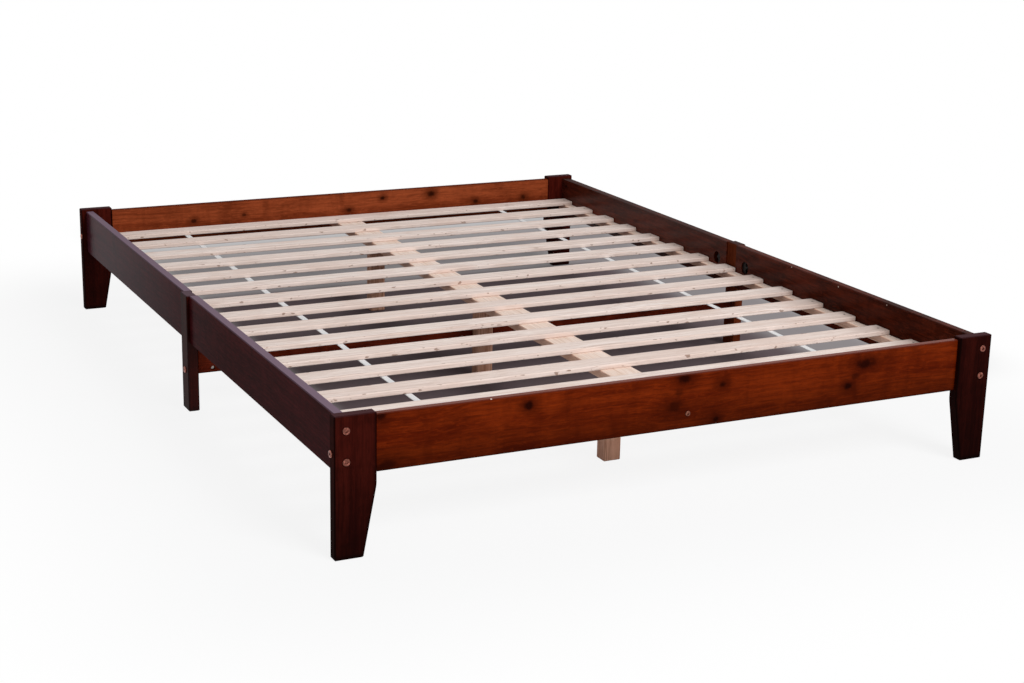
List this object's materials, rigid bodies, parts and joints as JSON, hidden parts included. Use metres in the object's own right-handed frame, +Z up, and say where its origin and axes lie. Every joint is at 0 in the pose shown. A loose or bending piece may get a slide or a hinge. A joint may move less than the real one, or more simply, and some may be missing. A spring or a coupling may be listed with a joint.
{
  "type": "bed base",
  "caption": "Low wooden bed base: stained rails on tapered corner posts and middle legs, with a legged centre beam carrying screwed pine slats for a mattress.",
  "frame": {"origin": "on the floor, under the middle of the bed", "axes": "+X to the right seen from the front end, +Y along the bed towards the rear end, +Z up"},
  "size_m": [1.606, 2.096, 0.298],
  "materials": {
    "stained_end_rails": "satin stain, grain shows",
    "dark_posts": "satin dark stain",
    "dark_side_rails": "satin dark stain",
    "stained_cross_beam": "satin stain",
    "raw_pine": "planed, unfinished",
    "slat_pine": "planed, unfinished",
    "webbing": "woven tape",
    "bronze_bolts": "bronze coating",
    "zinc_hardware": "zinc plated",
    "beech_dowels": "fluted hardwood, plain here"
  },
  "bodies": {
    "root": {"centre_beam_barrel_nuts": "zinc_hardware", "centre_beam_bolt_front": "bronze_bolts", "centre_beam_bolt_rear": "bronze_bolts", "centre_beam_front": "raw_pine", "centre_beam_rear": "raw_pine", "centre_beam_screws": "zinc_hardware", "centre_leg_bolts": "zinc_hardware", "centre_leg_front": "raw_pine", "centre_leg_middle": "raw_pine", "centre_leg_rear": "raw_pine", "corner_barrel_nuts": "zinc_hardware", "corner_bolts_front_left": "bronze_bolts", "corner_bolts_front_right": "bronze_bolts", "corner_bolts_rear_left": "bronze_bolts", "corner_bolts_rear_right": "bronze_bolts", "corner_post_front_left": "dark_posts", "corner_post_front_right": "dark_posts", "corner_post_rear_left": "dark_posts", "corner_post_rear_right": "dark_posts", "cross_beam": "stained_cross_beam", "cross_beam_barrel_nuts": "zinc_hardware", "cross_beam_bolt_left": "bronze_bolts", "cross_beam_bolt_right": "bronze_bolts", "end_rail_barrel_nuts": "zinc_hardware", "end_rail_front": "stained_end_rails", "end_rail_rear": "stained_end_rails", "half_moon_washers": "zinc_hardware", "ledge_screws": "zinc_hardware", "mid_leg_left": "dark_posts", "mid_leg_right": "dark_posts", "mid_leg_studs": "zinc_hardware", "side_rail_left_front": "dark_side_rails", "side_rail_left_rear": "dark_side_rails", "side_rail_right_front": "dark_side_rails", "side_rail_right_rear": "dark_side_rails", "slat_01": "slat_pine", "slat_02": "slat_pine", "slat_03": "slat_pine", "slat_04": "slat_pine", "slat_05": "slat_pine", "slat_06": "slat_pine", "slat_07": "slat_pine", "slat_08": "slat_pine", "slat_09": "slat_pine", "slat_10": "slat_pine", "slat_11": "slat_pine", "slat_12": "slat_pine", "slat_13": "slat_pine", "slat_14": "slat_pine", "slat_15": "slat_pine", "slat_ledge_left_front": "raw_pine", "slat_ledge_left_rear": "raw_pine", "slat_ledge_right_front": "raw_pine", "slat_ledge_right_rear": "raw_pine", "slat_screws": "zinc_hardware", "stud_nuts": "zinc_hardware", "webbing_strap_left": "webbing", "webbing_strap_right": "webbing", "wood_dowels": "beech_dowels"}
  },
  "joints": []
}
